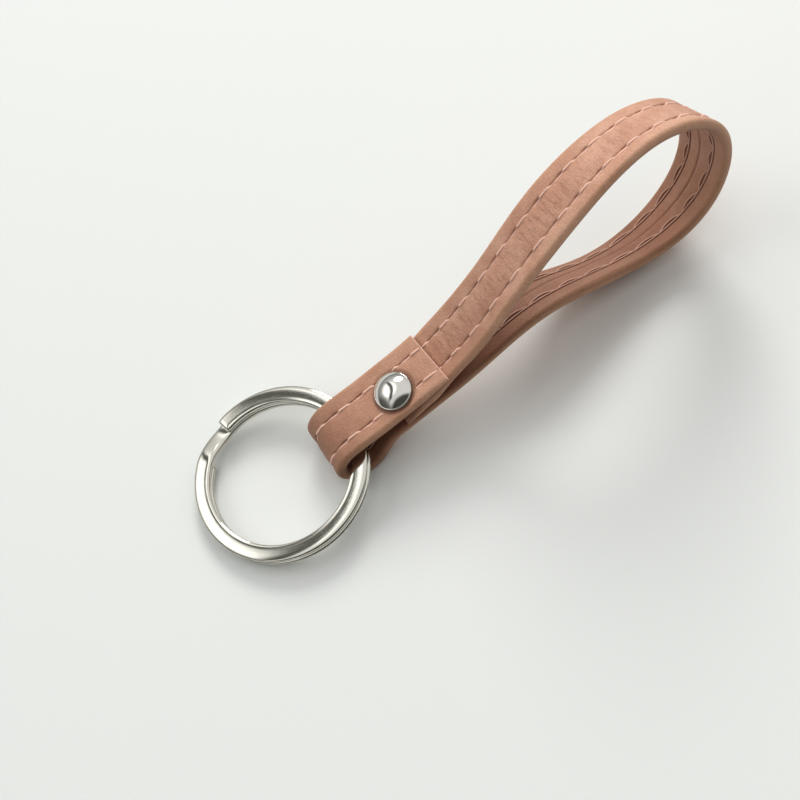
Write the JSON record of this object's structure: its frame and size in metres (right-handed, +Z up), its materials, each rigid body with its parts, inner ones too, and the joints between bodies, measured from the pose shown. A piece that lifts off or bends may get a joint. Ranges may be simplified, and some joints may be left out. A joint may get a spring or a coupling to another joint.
{
  "type": "leather keychain",
  "caption": "Leather wrist-loop keychain: a stitched strap folded into an open loop, closed by a domed rivet, with a split ring hinged in its fold.",
  "frame": {"origin": "centre of the bounding box in plan, at the surface that it lies on", "axes": "+X along the strap from the split ring to the loop, +Y across the strap, +Z up"},
  "size_m": [0.1038, 0.0304, 0.0377],
  "materials": {
    "leather": "matte pebbled leather, dusty pink",
    "thread": "soft sheen twisted sewing thread",
    "plated_steel": "polished nickel plating",
    "rivet_steel": "plain drawn steel"
  },
  "bodies": {
    "strap_body": {"strap": "leather", "needle_thread_far": "thread", "needle_thread_near": "thread", "looper_thread_far": "thread", "looper_thread_near": "thread", "rivet_cap": "plated_steel", "rivet_post": "rivet_steel", "rivet_socket": "rivet_steel", "rivet_back_cap": "plated_steel"},
    "ring": {"split_ring": "plated_steel"}
  },
  "joints": [
    {"name": "ring_swing", "type": "hinge", "parent": "strap_body", "child": "ring", "pos_m": [-0.02391, -0.0018, 0.00484], "axis": [0, 1, 0], "range_deg": [-165, 145]}
  ]
}
